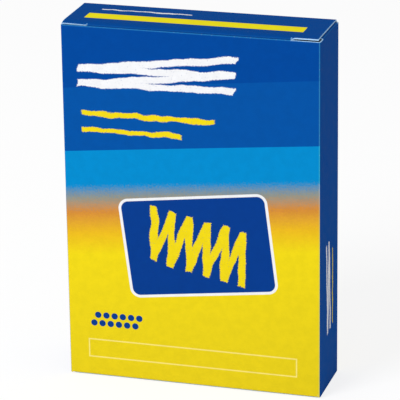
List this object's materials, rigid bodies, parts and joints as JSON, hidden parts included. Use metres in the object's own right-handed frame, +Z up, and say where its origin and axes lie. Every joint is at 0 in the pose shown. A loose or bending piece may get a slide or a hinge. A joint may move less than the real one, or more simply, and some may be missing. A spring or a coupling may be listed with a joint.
{
  "type": "carton of china markers",
  "caption": "Tuck-lid folding carton holding nested rows of paper-sleeved wax marking crayons; lid, tuck flap and dust flaps fold on creases and each crayon slides up.",
  "frame": {"origin": "on the table, under the middle of the carton", "axes": "+Z up along the crayons, +X to the right along the carton's width, front panel towards -Y"},
  "size_m": [0.0846, 0.0238, 0.12],
  "materials": {
    "printed_board": "satin",
    "wax": "satin",
    "sleeve_paper": "matte"
  },
  "bodies": {
    "carton": {"front_panel": "printed_board", "back_panel": "printed_board", "left_side_panel": "printed_board", "right_side_panel": "printed_board", "glue_flap": "printed_board", "bottom_outer_flap": "printed_board", "bottom_inner_flap": "printed_board", "bottom_left_dust_flap": "printed_board", "bottom_right_dust_flap": "printed_board"},
    "lid": {"lid_panel": "printed_board"},
    "tuck_flap": {"lid_tuck_flap": "printed_board"},
    "left_dust_flap": {"left_dust_flap": "printed_board"},
    "right_dust_flap": {"right_dust_flap": "printed_board"},
    "front_crayon_1": {"front_crayon_1_wax": "wax", "front_crayon_1_sleeve": "sleeve_paper"},
    "front_crayon_2": {"front_crayon_2_wax": "wax", "front_crayon_2_sleeve": "sleeve_paper"},
    "front_crayon_3": {"front_crayon_3_wax": "wax", "front_crayon_3_sleeve": "sleeve_paper"},
    "front_crayon_4": {"front_crayon_4_wax": "wax", "front_crayon_4_sleeve": "sleeve_paper"},
    "front_crayon_5": {"front_crayon_5_wax": "wax", "front_crayon_5_sleeve": "sleeve_paper"},
    "front_crayon_6": {"front_crayon_6_wax": "wax", "front_crayon_6_sleeve": "sleeve_paper"},
    "back_crayon_1": {"back_crayon_1_wax": "wax", "back_crayon_1_sleeve": "sleeve_paper"},
    "back_crayon_2": {"back_crayon_2_wax": "wax", "back_crayon_2_sleeve": "sleeve_paper"},
    "back_crayon_3": {"back_crayon_3_wax": "wax", "back_crayon_3_sleeve": "sleeve_paper"},
    "back_crayon_4": {"back_crayon_4_wax": "wax", "back_crayon_4_sleeve": "sleeve_paper"},
    "back_crayon_5": {"back_crayon_5_wax": "wax", "back_crayon_5_sleeve": "sleeve_paper"},
    "back_crayon_6": {"back_crayon_6_wax": "wax", "back_crayon_6_sleeve": "sleeve_paper"}
  },
  "joints": [
    {"name": "lid_hinge", "type": "hinge", "parent": "carton", "child": "lid", "pos_m": [0, 0.01164, 0.11978], "axis": [-1, 0, 0], "range_deg": [0, 175]},
    {"name": "tuck_fold", "type": "hinge", "parent": "lid", "child": "tuck_flap", "pos_m": [0, -0.01089, 0.11978], "axis": [-1, 0, 0], "range_deg": [0, 26.25]},
    {"name": "left_dust_fold", "type": "hinge", "parent": "carton", "child": "left_dust_flap", "pos_m": [-0.04206, 0, 0.11918], "axis": [0, -1, 0], "range_deg": [0, 87.5]},
    {"name": "right_dust_fold", "type": "hinge", "parent": "carton", "child": "right_dust_flap", "pos_m": [0.04206, 0, 0.11918], "axis": [0, 1, 0], "range_deg": [0, 87.5]},
    {"name": "front_crayon_1_slide", "type": "slide", "parent": "carton", "child": "front_crayon_1", "axis": [0, 0, 1], "range_m": [0, 0.002]},
    {"name": "front_crayon_2_slide", "type": "slide", "parent": "carton", "child": "front_crayon_2", "axis": [0, 0, 1], "range_m": [0, 0.002]},
    {"name": "front_crayon_3_slide", "type": "slide", "parent": "carton", "child": "front_crayon_3", "axis": [0, 0, 1], "range_m": [0, 0.002]},
    {"name": "front_crayon_4_slide", "type": "slide", "parent": "carton", "child": "front_crayon_4", "axis": [0, 0, 1], "range_m": [0, 0.002]},
    {"name": "front_crayon_5_slide", "type": "slide", "parent": "carton", "child": "front_crayon_5", "axis": [0, 0, 1], "range_m": [0, 0.002]},
    {"name": "front_crayon_6_slide", "type": "slide", "parent": "carton", "child": "front_crayon_6", "axis": [0, 0, 1], "range_m": [0, 0.002]},
    {"name": "back_crayon_1_slide", "type": "slide", "parent": "carton", "child": "back_crayon_1", "axis": [0, 0, 1], "range_m": [0, 0.01]},
    {"name": "back_crayon_2_slide", "type": "slide", "parent": "carton", "child": "back_crayon_2", "axis": [0, 0, 1], "range_m": [0, 0.01]},
    {"name": "back_crayon_3_slide", "type": "slide", "parent": "carton", "child": "back_crayon_3", "axis": [0, 0, 1], "range_m": [0, 0.01]},
    {"name": "back_crayon_4_slide", "type": "slide", "parent": "carton", "child": "back_crayon_4", "axis": [0, 0, 1], "range_m": [0, 0.01]},
    {"name": "back_crayon_5_slide", "type": "slide", "parent": "carton", "child": "back_crayon_5", "axis": [0, 0, 1], "range_m": [0, 0.01]},
    {"name": "back_crayon_6_slide", "type": "slide", "parent": "carton", "child": "back_crayon_6", "axis": [0, 0, 1], "range_m": [0, 0.01]}
  ],
  "couplings": [
    {"joint": "tuck_fold", "follows": "lid_hinge", "ratio": 0.15},
    {"joint": "left_dust_fold", "follows": "lid_hinge", "ratio": 0.5},
    {"joint": "right_dust_fold", "follows": "lid_hinge", "ratio": 0.5}
  ]
}
